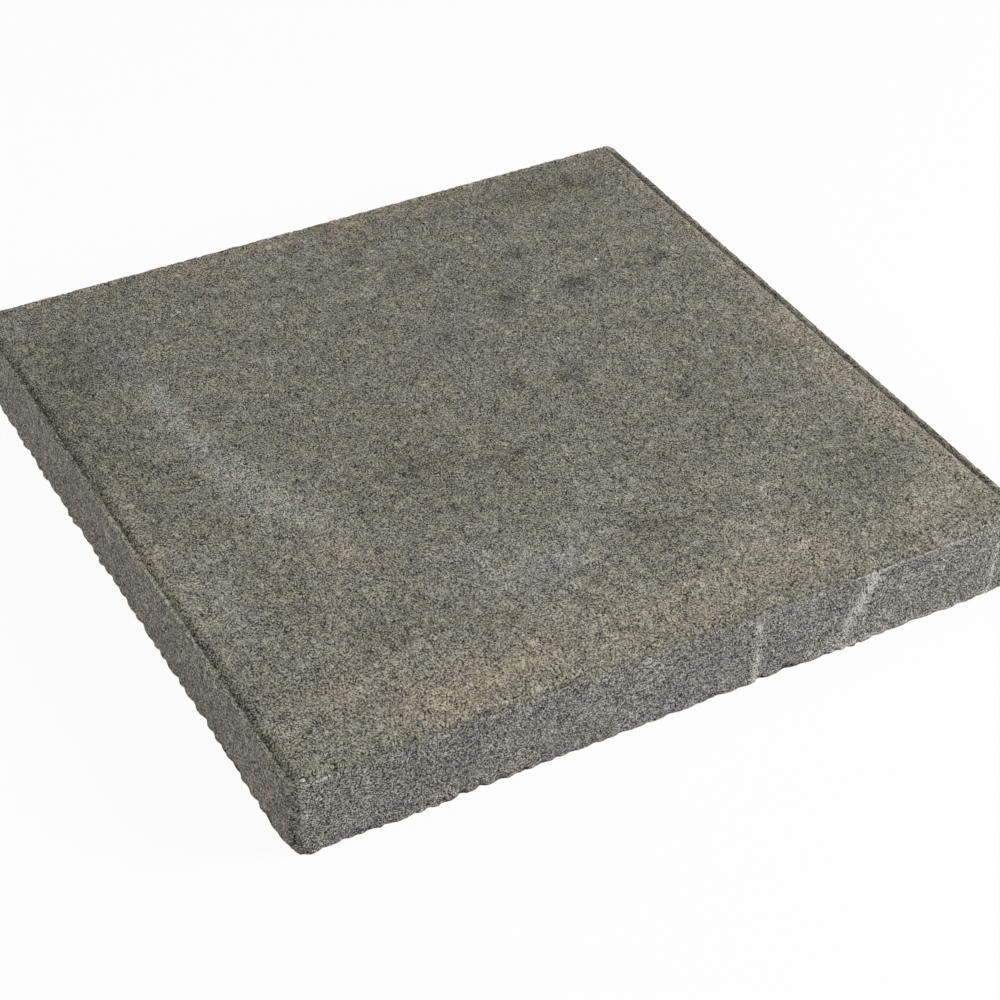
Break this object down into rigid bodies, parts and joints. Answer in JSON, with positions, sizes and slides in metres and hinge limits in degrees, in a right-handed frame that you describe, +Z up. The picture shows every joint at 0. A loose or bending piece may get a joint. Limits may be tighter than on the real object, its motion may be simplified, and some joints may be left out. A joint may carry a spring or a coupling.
{
  "type": "concrete paving slab",
  "caption": "Square pressed concrete paving slab with a flat wearing face, rolled and grooved top edges, upright joint faces and a ragged bottom arris.",
  "frame": {"origin": "middle of the bed face, which rests on the ground", "axes": "+X along the length, +Y along the width, +Z up out of the wearing face"},
  "size_m": [0.4519, 0.452, 0.05],
  "materials": {
    "concrete": "matte"
  },
  "bodies": {
    "root": {"slab": "concrete"}
  },
  "joints": []
}
